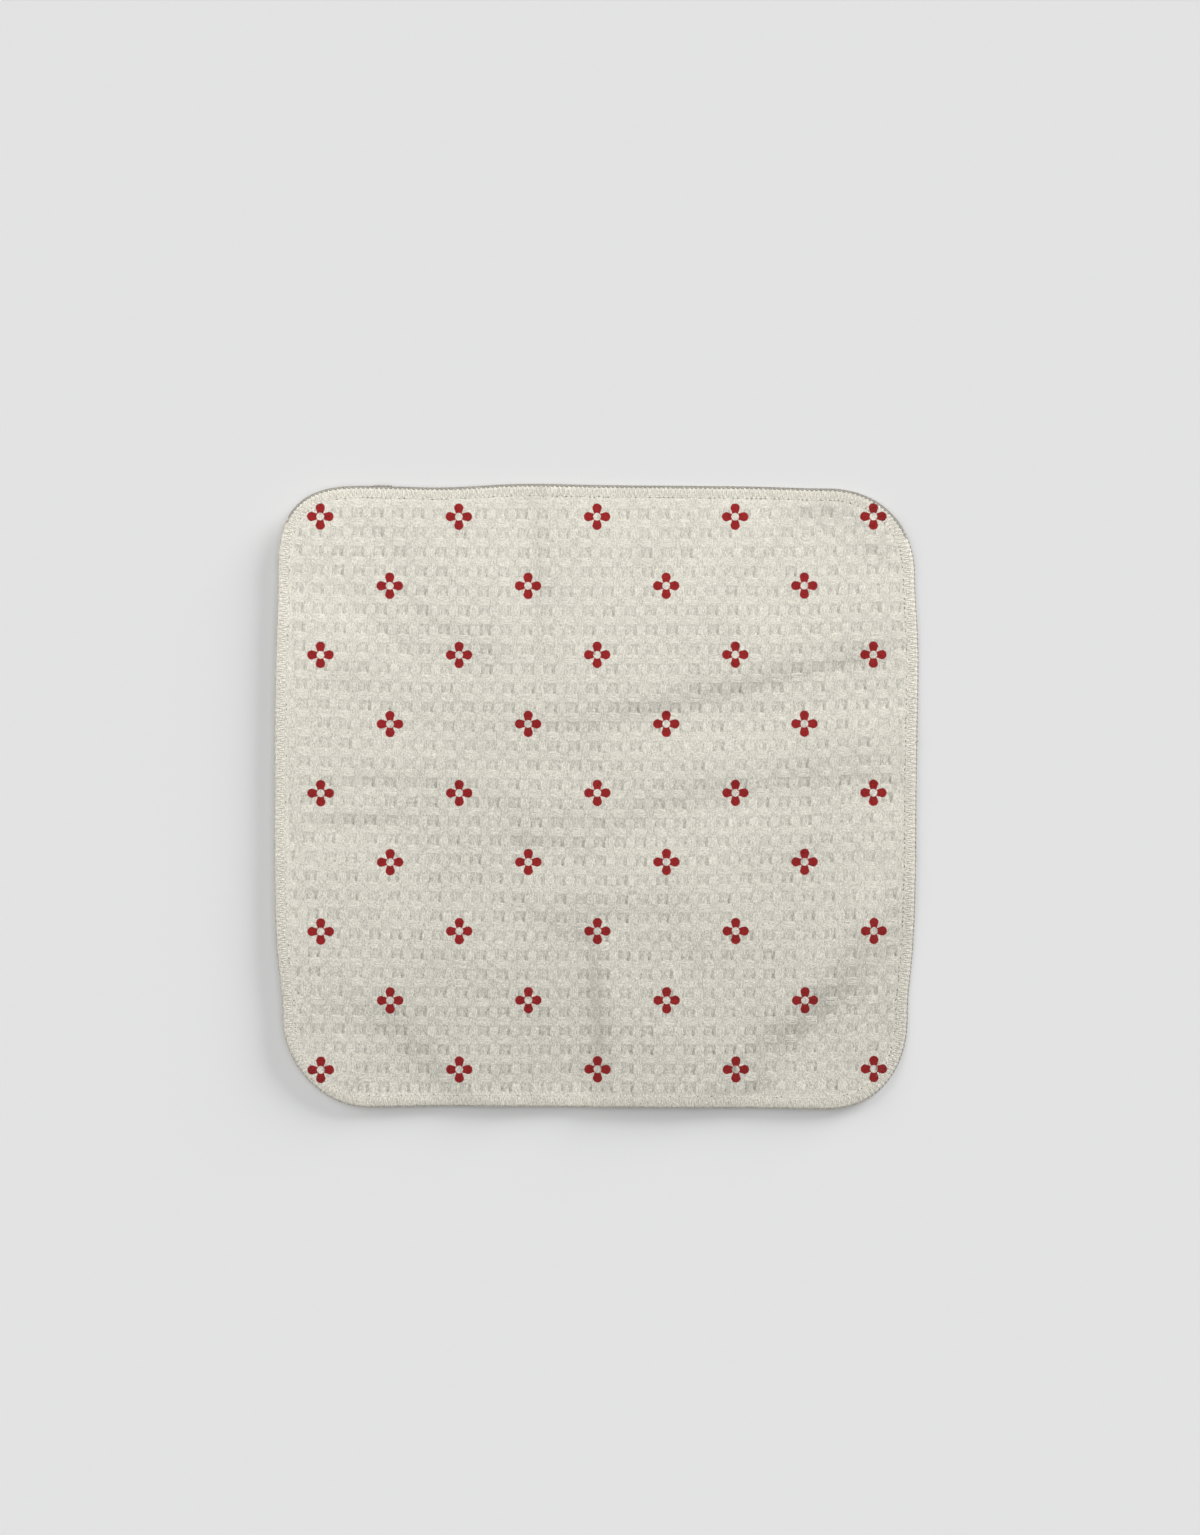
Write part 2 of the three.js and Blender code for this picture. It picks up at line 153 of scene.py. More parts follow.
def curve(table, t):
    """Like along, but as one smooth line, level at both ends."""
    table = np.array(table, float)
    t = np.clip(t, 0, 1) * (len(table) - 1)
    i = np.minimum(t.astype(int), len(table) - 2)
    f = t - i
    a, b, c, d = (np.r_[table[1], table, table[-2]][i + k] for k in range(4))
    return 0.5 * (2 * b + (c - a) * f + (2 * a - 5 * b + 4 * c - d) * f**2 + (3 * b - a - 3 * c + d) * f**3)


def hashed(*numbers):
    """An even spread of numbers from 0 to 1, the same for the same whole numbers each time."""
    h = np.zeros(np.shape(numbers[0]), np.int64) + 374761393
    for k, n in enumerate(numbers):
        h = (h ^ (np.asarray(n, np.int64) * (668265263 + 2246822519 * k))) & 0xFFFFFFFF
        h = (h * 1274126177) & 0xFFFFFFFF
        h = h ^ (h >> 15)
    h = (h * 2654435761) & 0xFFFFFFFF
    h = h ^ (h >> 13)
    return (h & 0xFFFFFF) / float(0x1000000)


def value_noise(x, y, size, seed):
    """Smooth noise from -1 to 1 with features of about the given size."""
    x = x / size + 1000.0
    y = y / size + 1000.0
    ix, iy = np.floor(x).astype(int), np.floor(y).astype(int)
    fx, fy = smoother(x - ix), smoother(y - iy)
    corner = lambda a, b: 2 * hashed(ix + a, iy + b, np.full(ix.shape, seed)) - 1
    low = corner(0, 0) * (1 - fx) + corner(1, 0) * fx
    high = corner(0, 1) * (1 - fx) + corner(1, 1) * fx
    return low * (1 - fy) + high * fy


def crease_line(row):
    p = np.array(row[1:9], float).reshape(4, 2)
    knots = np.vstack([2 * p[0] - p[1], p, 2 * p[3] - p[2]])
    points = []
    for k in range(3):
        t = np.linspace(0, 1, 12, endpoint=(k == 2))[:, None]
        a, b, c, d = knots[k : k + 4]
        points.append(0.5 * (2 * b + (c - a) * t + (2 * a - 5 * b + 4 * c - d) * t**2 + (3 * b - a - 3 * c + d) * t**3))
    return np.vstack(points)


def crease_depth(row, X, Y):
    depth, steep, gentle, fade_in, fade_out = row[9:]
    line = crease_line(row)
    reach = 3.0 * gentle
    low, high = line.min(0) - reach, line.max(0) + reach
    near = (X > low[0]) & (X < high[0]) & (Y > low[1]) & (Y < high[1])
    out = np.zeros(X.shape)
    if not near.any():
        return out
    x, y = X[near], Y[near]
    steps = np.diff(line, axis=0)
    lengths = np.hypot(steps[:, 0], steps[:, 1])
    runs = np.r_[0, np.cumsum(lengths)]
    best = np.full(x.shape, 1e9)
    side = np.zeros(x.shape)
    station = np.zeros(x.shape)
    for i in range(len(steps)):
        ux, uy = steps[i] / lengths[i]
        dx, dy = x - line[i, 0], y - line[i, 1]
        t = np.clip(dx * ux + dy * uy, 0, lengths[i])
        distance = np.hypot(dx - t * ux, dy - t * uy)
        closer = distance < best
        best = np.where(closer, distance, best)
        side = np.where(closer, (ux * dy - uy * dx) / np.maximum(distance, 1e-6), side)
        station = np.where(closer, runs[i] + t, station)
    share = 0.5 + 0.5 * np.clip(side, -1, 1)
    width = steep * share + gentle * (1 - share)
    out[near] = depth * np.exp(-((best / width) ** 2)) * smooth(station / fade_in) * smooth((runs[-1] - station) / fade_out)
    return out


def plain_inwards(X, Y):
    qx = np.abs(X) - (HALF_X - EDGE_R)
    qy = np.abs(Y) - (HALF_Y - EDGE_R)
    return EDGE_R - np.hypot(np.maximum(qx, 0), np.maximum(qy, 0)) - np.minimum(np.maximum(qx, qy), 0)


def underside(X, Y):
    creases = sum(crease_depth(row, X, Y) for row in CREASES)
    high = np.full(X.shape, BASE)
    for x, y, rise, across, along_, turn in PILLOWS:
        c, s = math.cos(math.radians(turn)), math.sin(math.radians(turn))
        u = (X - x) * c + (Y - y) * s
        v = -(X - x) * s + (Y - y) * c
        high = high + rise * np.exp(-((u / across) ** 2) - (v / along_) ** 2)
    inwards = plain_inwards(X, Y)
    tx, ty = (X + HALF_X) / (2 * HALF_X), (Y + HALF_Y) / (2 * HALF_Y)
    edges = (
        (X + HALF_X, along(LIFT["left"], ty)),
        (HALF_X - X, along(LIFT["right"], ty)),
        (Y + HALF_Y, along(LIFT["bottom"], tx)),
        (HALF_Y - Y, along(LIFT["top"], tx)),
    )
    weights = [1 / (np.maximum(d, 0) + 6) ** 2 for d, _ in edges]
    lift = sum(w * v for w, (_, v) in zip(weights, edges)) / sum(weights)
    inner = smoother(inwards / EDGE_BAND)
    z = high * inner + lift * (1 - inner) - creases * (EDGE_KEEP + (1 - EDGE_KEEP) * smooth(inwards / EDGE_SOFT))
    z = np.where(z <= 0, 0, np.where(z < 2 * SETTLE, z * z / (4 * SETTLE), z - SETTLE))
    # small unevenness, which dies out where the cloth touches the surface
    small = 0.16 * value_noise(X, Y, 17, 1) + 0.09 * value_noise(X, Y, 8, 2)
    return z + small * smooth(z / 1.0)


def on_outline(x, y):
    straight_x, straight_y = HALF_X - CORNER_R, HALF_Y - CORNER_R
    side_x = DRAW_IN["left"] if x < 0 else DRAW_IN["right"]
    side_y = DRAW_IN["bottom"] if y < 0 else DRAW_IN["top"]
    sx, sy = (1 if x > 0 else -1), (1 if y > 0 else -1)
    if abs(x) > straight_x and abs(y) > straight_y:
        vx, vy = abs(x) - straight_x, abs(y) - straight_y
        run = vy / (2 * CORNER_R) if vx >= CORNER_R - 1e-9 else 1 - vx / (2 * CORNER_R)
        a = run * math.pi / 2
        square = CORNER_SQUARE[(sx, sy)]
        reach = (math.cos(a) ** square + math.sin(a) ** square) ** (-1 / square)
        draw_x = side_x[0] if sy < 0 else side_x[-1]
        draw_y = side_y[0] if sx < 0 else side_y[-1]
        return (
            sx * (straight_x + (CORNER_R - draw_x) * math.cos(a) * reach),
            sy * (straight_y + (CORNER_R - draw_y) * math.sin(a) * reach),
        )
    if abs(y) <= straight_y:
        return x - sx * float(curve(side_x, np.array((y + straight_y) / (2 * straight_y)))), y
    return x, y - sy * float(curve(side_y, np.array((x + straight_x) / (2 * straight_x))))


# the outline as an even run of points, anticlockwise from the middle of the right edge
_square = []
for k in range(1000):
    _square.append((HALF_X, HALF_Y * (-1 + 2 * k / 1000)))
for k in range(1000):
    _square.append((HALF_X * (1 - 2 * k / 1000), HALF_Y))
for k in range(1000):
    _square.append((-HALF_X, HALF_Y * (1 - 2 * k / 1000)))
for k in range(1000):
    _square.append((HALF_X * (-1 + 2 * k / 1000), -HALF_Y))
_loop = np.array([on_outline(x, y) for x, y in _square])
_loop = np.vstack([_loop, _loop[:1]])
_seg = np.hypot(*np.diff(_loop, axis=0).T)
_loop = _loop[:-1][_seg > 1e-6]
_closed = np.vstack([_loop, _loop[:1]])
_run = np.r_[0, np.cumsum(np.hypot(*np.diff(_closed, axis=0).T))]
PERIMETER = float(_run[-1])


def edge_point(s, d):
    """The place d mm inside the outline at s mm along it."""
    s = np.asarray(s, float) % PERIMETER
    x = np.interp(s, _run, _closed[:, 0])
    y = np.interp(s, _run, _closed[:, 1])
    e = 1.5
    ax = np.interp((s + e) % PERIMETER, _run, _closed[:, 0]) - np.interp((s - e) % PERIMETER, _run, _closed[:, 0])
    ay = np.interp((s + e) % PERIMETER, _run, _closed[:, 1]) - np.interp((s - e) % PERIMETER, _run, _closed[:, 1])
    n = np.hypot(ax, ay)
    return x - ay / n * d, y + ax / n * d


def inwards_exact(X, Y):
    """Distance inside the real outline: exact near it, and near enough far from it."""
    X, Y = np.asarray(X, float), np.asarray(Y, float)
    d = plain_inwards(X, Y)
    near = d < 16
    if near.any():
        pts = np.c_[X[near], Y[near]]
        out = np.zeros(len(pts))
        ring = _closed[:-1]
        for i in range(0, len(pts), 4000):
            p = pts[i : i + 4000]
            dist = np.hypot(p[:, None, 0] - ring[None, :, 0], p[:, None, 1] - ring[None, :, 1])
            k = dist.argmin(1)
            s = _run[k]
            ex, ey = edge_point(s, 1.0)
            inner = (ex - ring[k, 0]) * (p[:, 0] - ring[k, 0]) + (ey - ring[k, 1]) * (p[:, 1] - ring[k, 1])
            out[i : i + 4000] = np.where(inner >= 0, 1, -1) * dist[np.arange(len(p)), k]
        d = d.copy()
        d[near] = out
    return d


def weave_shift(X, Y):
    """How far the weave has slipped from straight, in cells."""
    tx, ty = (X + HALF_X) / (2 * HALF_X), (Y + HALF_Y) / (2 * HALF_Y)
    q = (2 * ty - 1) ** 2
    p = (2 * tx - 1) ** 2
    du = (0.03 - 0.21 * tx) * (1 - q) + (-0.15 + 0.39 * tx) * q
    dv = 0.15 * p - 0.18 * (1 - p) * (1 - q)
    return du + 0.05 * value_noise(X, Y, 45, 11), dv + 0.05 * value_noise(X, Y, 45, 12)


def weave_of(X, Y):
    du, dv = weave_shift(X, Y)
    return U_0 + U_X * X + U_Y * Y + du, V_0 + V_X * X + V_Y * Y + dv


def place_of(U, V):
    X = U / U_X
    Y = V / V_Y
    for _ in range(8):
        du, dv = weave_shift(X, Y)
        Y = (V - V_0 - dv - V_X * X) / V_Y
        X = (U - U_0 - du - U_Y * Y) / U_X
    return X, Y


def cell_parts(U, V):
    """Place in the cell, and 1 in the columns of upright floats and 1 in the rows of pits and upright floats."""
    u = (U - 0.22) % 1 + 0.22
    v = (V - 0.13) % 1 + 0.13
    column = smooth((u - 0.22) / 0.05) * smooth((0.67 - u) / 0.05)
    row = smooth((v - 0.13) / 0.15) * smooth((0.79 - v) / 0.16)
    return u, v, column, row


def pit_slots(u, v):
    """The slots at a pit's two sides: each grows downwards, and the right one widens to the left on its way."""
    low = smooth((v - 0.20) / 0.42)
    right = smooth((u - 1.09 + 0.06 * low) / 0.07) * smooth((1.245 - 0.04 * low - u) / 0.05)
    left = PIT_LEFT * smooth((u - 0.63) / 0.04) * smooth((0.77 - u) / 0.05)
    return right, left, low


def pit_depth(U, V):
    """From 0 outside the pits to about 1 at the lower end of the slot at a pit's right side."""
    u, v, column, row = cell_parts(U, V)
    right, left, low = pit_slots(u, v)
    cu, cv = np.floor(U - 0.22).astype(int), np.floor(V - 0.13).astype(int)
    uneven = 0.50 + 1.00 * hashed(cu, cv, np.full(cu.shape, 5))
    slots = np.maximum(right, left) * (0.30 + 0.70 * low) * smooth((v - 0.16) / 0.14) * smooth((0.76 - v) / 0.15)
    return np.maximum(slots, (1 - column) * PIT_MIDDLE * row) * uneven


def painted_hollow_shade(U, V):
    """How much painted shade the yarns get from what stands round them."""
    u, v, column, row = cell_parts(U, V)
    right, left, low = pit_slots(u, v)
    cu, cv = np.floor(U - 0.22).astype(int), np.floor(V - 0.13).astype(int)
    uneven = 0.50 + 1.00 * hashed(cu, cv, np.full(cu.shape, 5))
    slots = np.maximum(right, left) * (0.35 + 0.65 * low) * smooth((v - 0.14) / 0.12) * smooth((0.80 - v) / 0.10)
    top = 0.22 * (1 - column) * smooth((v - 0.13) / 0.06) * smooth((0.36 - v) / 0.12)
    return np.maximum(slots, top) * uneven


def face_relief(U, V):
    return -PIT * pit_depth(U, V)


def under_relief(U, V):
    u, v, column, row = cell_parts(U, V)
    return UNDER_PIT * (1 - (1 - column) * row)


def write_mesh(name, points, faces, materials, face_material=None):
    mesh = bpy.data.meshes.new(name)
    mesh.from_pydata((np.asarray(points) * MM).tolist(), [], faces)
    mesh.validate()
    for m in materials:
        mesh.materials.append(m)
    if face_material is not None:
        mesh.polygons.foreach_set("material_index", np.asarray(face_material, np.int32))
    mesh.polygons.foreach_set("use_smooth", np.ones(len(mesh.polygons), bool))
    mesh.update()
    obj = bpy.data.objects.new(name, mesh)
    bpy.context.scene.collection.objects.link(obj)
    return obj


def plan_map(obj, x0, y0, x1, y1, face_pick=None, box=(0.0, 0.0, 1.0, 1.0)):
    """A bake map seen from above, in one box of the picture."""
    mesh = obj.data
    layer = mesh.uv_layers.get("OFBake") or mesh.uv_layers.new(name="OFBake")
    n = len(mesh.loops)
    vi = np.empty(n, np.int32)
    mesh.loops.foreach_get("vertex_index", vi)
    co = np.empty(len(mesh.vertices) * 3, np.float32)
    mesh.vertices.foreach_get("co", co)
    co = co.reshape(-1, 3)[vi] / MM
    uv = np.empty(n * 2, np.float32)
    layer.data.foreach_get("uv", uv)
    uv = uv.reshape(-1, 2)
    u = box[0] + (box[2] - box[0]) * (co[:, 0] - x0) / (x1 - x0)
    v = box[1] + (box[3] - box[1]) * (co[:, 1] - y0) / (y1 - y0)
    if face_pick is None:
        uv[:, 0], uv[:, 1] = u, v
    else:
        total = np.empty(len(mesh.polygons), np.int32)
        mesh.polygons.foreach_get("loop_total", total)
        pick = np.repeat(face_pick, total)
        uv[pick, 0], uv[pick, 1] = u[pick], v[pick]
    layer.data.foreach_set("uv", uv.ravel())


# ---------------------------------------------------------------- the sheet
RING = int(round(PERIMETER / 1.6))
ring_s = np.arange(RING) * PERIMETER / RING

# distance inside the outline, and level above the underside, from the inner ring over the rim to the inner ring below
RIM = [
    (BAND, BAND_LEVEL),
    (3.6, BAND_LEVEL + 0.02),
    (2.1, BAND_LEVEL + 0.02),
    (1.0, BAND_LEVEL - 0.02),
    (0.40, BAND_LEVEL - 0.16),
    (0.10, BAND_LEVEL - 0.40),
    (0.00, 0.72),
    (0.10, 0.52),
    (0.45, 0.34),
    (1.3, 0.30),
    (3.2, 0.30),
    (BAND, 0.30),
]


def lattice(u_lines, v_lines, relief, level, keep_from):
    """Weave-aligned quads inside the band, and the boundary of their region."""
    UL = np.concatenate([n + np.array(u_lines) for n in range(-18, 18)])
    VL = np.concatenate([n + np.array(v_lines) for n in range(-18, 18)])
    U, V = np.meshgrid(UL, VL, indexing="ij")
    X, Y = place_of(U, V)
    d = inwards_exact(X, Y)
    inside = d > keep_from
    quads = inside[:-1, :-1] & inside[1:, :-1] & inside[1:, 1:] & inside[:-1, 1:]
    used = np.zeros(inside.shape, bool)
    used[:-1, :-1] |= quads
    used[1:, :-1] |= quads
    used[1:, 1:] |= quads
    used[:-1, 1:] |= quads
    index = np.full(inside.shape, -1)
    index[used] = np.arange(used.sum())
    xs, ys, ds = X[used], Y[used], d[used]
    fade = smooth((ds - BAND - 0.3) / 2.2)
    band = BAND_LEVEL if level else 0.30
    z = underside(xs, ys) + (relief(U[used], V[used]) + level) * fade + band * (1 - fade)
    # painted shade for the hollows of the face and of the underside, faded out into the band
    painted_shade = (painted_hollow_shade(U[used], V[used]) if level else 0.1 + 0.8 * under_relief(U[used], V[used]) / UNDER_PIT) * fade + BAND_PAINTED_SHADE * (1 - fade)
    i, j = np.nonzero(quads)
    # u to the right, v downwards: anticlockwise from above
    faces = np.c_[index[i, j], index[i, j + 1], index[i + 1, j + 1], index[i + 1, j]]
    edges = np.concatenate([faces[:, [a, (a + 1) % 4]] for a in range(4)])
    key = {(int(a), int(b)) for a, b in edges}
    boundary = [(a, b) for a, b in key if (b, a) not in key]
    return np.c_[xs, ys, z], faces, boundary, (UL, VL, quads), painted_shade


def fill_band(points, boundary, ring_points, region):
    """Triangles between the ragged edge of the lattice and the ring."""
    UL, VL, quads = region
    ids = sorted({i for e in boundary for i in e})
    local = {g: k for k, g in enumerate(ids)}
    n = len(ids)
    verts = [Vector((points[g][0], points[g][1])) for g in ids]
    verts += [Vector((p[0], p[1])) for p in ring_points]
    m = len(ring_points)
    edges = [(local[a], local[b]) for a, b in boundary]
    edges += [(n + k, n + (k + 1) % m) for k in range(m)]
    out_v, _, out_f, orig_v, _, _ = delaunay_2d_cdt(verts, edges, [], 1, 1e-7, True)
    back = [(o[0] if o else None) for o in orig_v]
    tris = []
    cx, cy, cand = [], [], []
    for f in out_f:
        # three points of the ring only close off its own hollow stretches
        if any(back[i] is None for i in f) or all(back[i] >= n for i in f):
            continue
        ids3 = [ids[back[i]] if back[i] < n else -(back[i] - n) - 1 for i in f]
        c = sum((out_v[i] for i in f), Vector((0, 0))) / len(f)
        cx.append(c[0]); cy.append(c[1]); cand.append(ids3)
    cx, cy = np.array(cx), np.array(cy)
    U, V = weave_of(cx, cy)
    a = np.clip(np.searchsorted(UL, U) - 1, 0, quads.shape[0] - 1)
    b = np.clip(np.searchsorted(VL, V) - 1, 0, quads.shape[1] - 1)
    outside = ~quads[a, b]
    for k in range(len(cand)):
        if outside[k]:
            tris.append(cand[k])
    return tris


def ring_at(d, level):
    x, y = edge_point(ring_s, d)
    return np.c_[x, y, underside(x, y) + level]


top_points, top_faces, top_edge, top_region, top_painted_shade = lattice(U_LINES, V_LINES, face_relief, LEVEL, BAND + 0.45)
low_points, low_faces, low_edge, low_region, low_painted_shade = lattice(U_LINES_UNDER, V_LINES_UNDER, under_relief, 0.0, BAND + 0.45)
rings = [ring_at(d, level) for d, level in RIM]
top_fill = fill_band(top_points, top_edge, rings[0], top_region)
low_fill = fill_band(low_points, low_edge, rings[-1], low_region)

points = [top_points, low_points] + rings
starts = np.cumsum([0] + [len(p) for p in points])
first_ring = 2
faces = []
faces += top_faces.tolist()
for t in top_fill:
    faces.append([i if i >= 0 else starts[first_ring] + (-i - 1) for i in t])
n_top = len(faces)
for r in range(len(RIM) - 1):
    a, b = starts[first_ring + r], starts[first_ring + r + 1]
    for k in range(RING):
        k2 = (k + 1) % RING
        faces.append([a + k, b + k, b + k2, a + k2])
faces += (low_faces[:, ::-1] + starts[1]).tolist()
for t in low_fill:
    faces.append([(starts[1] + i) if i >= 0 else starts[first_ring + len(RIM) - 1] + (-i - 1) for i in t][::-1])
under = np.zeros(len(faces), np.int32)
under[n_top + 6 * RING:] = 1  # from the rim's outermost ring on, the sheet's underside
all_points = np.vstack(points)
painted_shade = np.concatenate([top_painted_shade, low_painted_shade, np.full(len(all_points) - starts[2], BAND_PAINTED_SHADE)])


# ---------------------------------------------------------------- node building
class Maths:
    """Writes shader sums as nodes."""

    def __init__(self, tree):
        self.tree = tree

    def node(self, kind, **settings):
        n = self.tree.nodes.new(kind)
        for k, v in settings.items():
            setattr(n, k, v)
        return n

    def put(self, socket, value):
        if isinstance(value, bpy.types.NodeSocket):
            self.tree.links.new(value, socket)
        else:
            socket.default_value = value

    def op(self, name, *values, clamp=False):
        n = self.node("ShaderNodeMath", operation=name, use_clamp=clamp)
        for i, v in enumerate(values):
            self.put(n.inputs[i], v)
        return n.outputs[0]

    def noise(self, vector, scale, detail=2.0, rough=0.5, distortion=0.0):
        n = self.node("ShaderNodeTexNoise")
        self.put(n.inputs["Vector"], vector)
        n.inputs["Scale"].default_value = scale
        n.inputs["Detail"].default_value = detail
        n.inputs["Roughness"].default_value = rough
        n.inputs["Distortion"].default_value = distortion
        return n.outputs["Fac"]

    def span(self, value, low, high, to_low, to_high, ease=False):
        n = self.node("ShaderNodeMapRange", interpolation_type="SMOOTHSTEP" if ease else "LINEAR")
        self.put(n.inputs["Value"], value)
        n.inputs["From Min"].default_value = low
        n.inputs["From Max"].default_value = high
        n.inputs["To Min"].default_value = to_low
        n.inputs["To Max"].default_value = to_high
        return n.outputs["Result"]

    def mix(self, factor, a, b, blend="MIX"):
        n = self.node("ShaderNodeMix", data_type="RGBA", blend_type=blend)
        self.put(n.inputs["Factor"], factor)
        self.put(n.inputs["A"], a)
        self.put(n.inputs["B"], b)
        return n.outputs["Result"]


def to_linear(r, g, b):
    f = lambda c: c / 12.92 if c <= 0.04045 else ((c + 0.055) / 1.055) ** 2.4
    return (f(r / 255), f(g / 255), f(b / 255), 1.0)


CLOTH = to_linear(223, 219, 207)
RED = to_linear(151, 32, 34)
THREAD = to_linear(224, 220, 209)
CHAIN = to_linear(204, 197, 184)
# the chain thread's colour darkened by painted shade
CHAIN_PAINTED_SHADE = to_linear(158, 154, 146)
# dark colour of painted shade for the stitch holes
HOLE_PAINTED_SHADE = to_linear(112, 106, 96)


# how much the painted shade in the hollows darkens the yarns
HOLLOW_PAINTED_SHADE = 0.255
# painted shade towards the bottom and painted light towards the top
PAINTED_SHADE_BOTTOM, PAINTED_LIGHT_TOP = -0.142, 0.115


def scaled(m, vector, factors):
    n = m.node("ShaderNodeVectorMath", operation="MULTIPLY")
    m.put(n.inputs[0], vector)
    n.inputs[1].default_value = factors
    return n.outputs[0]


def cloth_material(name, printed, yarn, tint=CLOTH):
    """yarn: 'face' for the woven ground, 'upright' or 'across' for floats, 'edge' for sewing thread."""
    mat = bpy.data.materials.new(name)
    mat.use_nodes = True
    tree = mat.node_tree
    tree.nodes.clear()
    m = Maths(tree)
    out = m.node("ShaderNodeOutputMaterial")
    bsdf = m.node("ShaderNodeBsdfPrincipled")
    tree.links.new(bsdf.outputs["BSDF"], out.inputs["Surface"])
    place = m.node("ShaderNodeTexCoord").outputs["Object"]
    parts = m.node("ShaderNodeSeparateXYZ")
    tree.links.new(place, parts.inputs[0])
    x = m.op("MULTIPLY", parts.outputs[0], 1000.0)
    y = m.op("MULTIPLY", parts.outputs[1], 1000.0)

    # colour: broad unevenness, fibre specks and, on the woven ground, fine ribs
    broad = m.noise(place, 22.0, 2.0)
    specks = m.noise(place, 1500.0, 3.0, 0.62)
    fibres = m.noise(scaled(m, place, (2.6, 0.7, 1.0) if yarn != "across" else (0.7, 2.6, 1.0)), 900.0, 2.0, 0.6)
    # painted light: the raised floats and the edge thread are paler than the lower woven ground
    painted_light_tone = {"face": 0.918, "upright": 1.01, "across": 1.026, "edge": 1.05}[yarn]
    tone = m.op("ADD", m.span(broad, 0.3, 0.7, painted_light_tone - 0.025, painted_light_tone + 0.025), m.span(specks, 0.25, 0.75, -0.29, 0.29))
    tone = m.op("ADD", tone, m.span(fibres, 0.25, 0.75, -0.26, 0.26))
    if yarn == "face":
        ribs = m.op("SINE", m.op("MULTIPLY", m.op("ADD", x, m.op("MULTIPLY", y, 0.0447)), 2 * math.pi / 0.70))
        tone = m.op("ADD", tone, m.op("MULTIPLY", ribs, 0.022))
        # painted shade: the yarns low in the hollows are darkened, as if shaded by what stands round them
        low = m.node("ShaderNodeAttribute", attribute_type="GEOMETRY", attribute_name="painted_shade").outputs["Fac"]
        tone = m.op("SUBTRACT", tone, m.op("MULTIPLY", low, HOLLOW_PAINTED_SHADE))
    # painted light and shade: the cloth is paler towards its top and left edges and darker towards its bottom
    tone = m.op("ADD", tone, m.span(y, -150.0, 150.0, PAINTED_SHADE_BOTTOM, PAINTED_LIGHT_TOP))
    tone = m.op("ADD", tone, m.span(x, -150.0, -90.0, 0.035, 0.0))
    grey = m.node("ShaderNodeCombineColor")
    for i in range(3):
        tree.links.new(tone, grey.inputs[i])
    colour = m.mix(1.0, tint, grey.outputs[0], "MULTIPLY")

    if printed:
        edge = m.op("MULTIPLY", m.op("SUBTRACT", m.noise(place, 1500.0, 2.0), 0.5), 0.30)
        sx = m.op("SUBTRACT", m.op("ADD", x, m.op("MULTIPLY", y, FLOWER_TURN)), FLOWER_X)
        sy = m.op("SUBTRACT", m.op("SUBTRACT", y, m.op("MULTIPLY", x, FLOWER_TURN)), FLOWER_Y)
        ax = m.op("PINGPONG", sx, FLOWER_STEP_X / 2)
        ay = m.op("PINGPONG", sy, FLOWER_STEP_Y / 2)
        bx = m.op("SUBTRACT", FLOWER_STEP_X / 2, ax)
        by = m.op("SUBTRACT", FLOWER_STEP_Y / 2, ay)
        masks = []
        for px, py in ((ax, ay), (bx, by)):
            a = m.op("MAXIMUM", px, py)
            b = m.op("MINIMUM", px, py)
            da = m.op("SUBTRACT", a, PETAL_AT)
            round_end = m.op("SUBTRACT", m.op("SQRT", m.op("ADD", m.op("MULTIPLY", da, da), m.op("MULTIPLY", b, b))), PETAL_R)
            taper = m.op("SUBTRACT", b, m.op("ADD", PETAL_R, m.op("MULTIPLY", da, PETAL_TAPER)))
            outer = m.op("GREATER_THAN", da, 0.0)
            shape = m.op("ADD", m.op("MULTIPLY", round_end, outer), m.op("MULTIPLY", taper, m.op("SUBTRACT", 1.0, outer)))
            r = m.op("SQRT", m.op("ADD", m.op("MULTIPLY", a, a), m.op("MULTIPLY", b, b)))
            shape = m.op("MAXIMUM", shape, m.op("SUBTRACT", PETAL_INNER, r))
            masks.append(m.span(m.op("ADD", shape, edge), -0.14, 0.14, 1.0, 0.0, ease=True))
        ink = m.op("MAXIMUM", masks[0], masks[1])
        ink_tone = m.op("ADD", m.span(specks, 0.25, 0.75, 0.55, 1.45), m.span(fibres, 0.25, 0.75, -0.20, 0.20))
        # the same painted light and shade, top to bottom, on the print
        ink_tone = m.op("ADD", ink_tone, m.span(y, -150.0, 150.0, -0.19, 0.11))
        ink_grey = m.node("ShaderNodeCombineColor")
        for i in range(3):
            tree.links.new(ink_tone, ink_grey.inputs[i])
        red = m.mix(1.0, RED, ink_grey.outputs[0], "MULTIPLY")
        colour = m.mix(ink, colour, red)
    tree.links.new(colour, bsdf.inputs["Base Color"])

    # fibre fuzz and yarn twist in the bump
    height = m.op("MULTIPLY", specks, 0.7)
    height = m.op("ADD", height, m.op("MULTIPLY", fibres, 0.9))
    if yarn == "face":
        height = m.op("ADD", height, m.op("MULTIPLY", ribs, 0.25))
    if yarn in ("upright", "across", "edge"):
        twist = m.op("SINE", m.op("MULTIPLY", m.op("ADD", x, y) if yarn != "edge" else m.op("SUBTRACT", x, y), 2 * math.pi / 0.55))
        height = m.op("ADD", height, m.op("MULTIPLY", twist, 0.22))
    bump = m.node("ShaderNodeBump")
    bump.inputs["Strength"].default_value = 0.55
    bump.inputs["Distance"].default_value = 0.00022
    tree.links.new(height, bump.inputs["Height"])
    tree.links.new(bump.outputs[0], bsdf.inputs["Normal"])
    rough = m.span(specks, 0.25, 0.75, 0.86, 1.0)
    tree.links.new(rough, bsdf.inputs["Roughness"])
    bsdf.inputs["Specular IOR Level"].default_value = 0.15
    bsdf.inputs["Sheen Weight"].default_value = 0.10
    bsdf.inputs["Sheen Roughness"].default_value = 0.6
    return mat


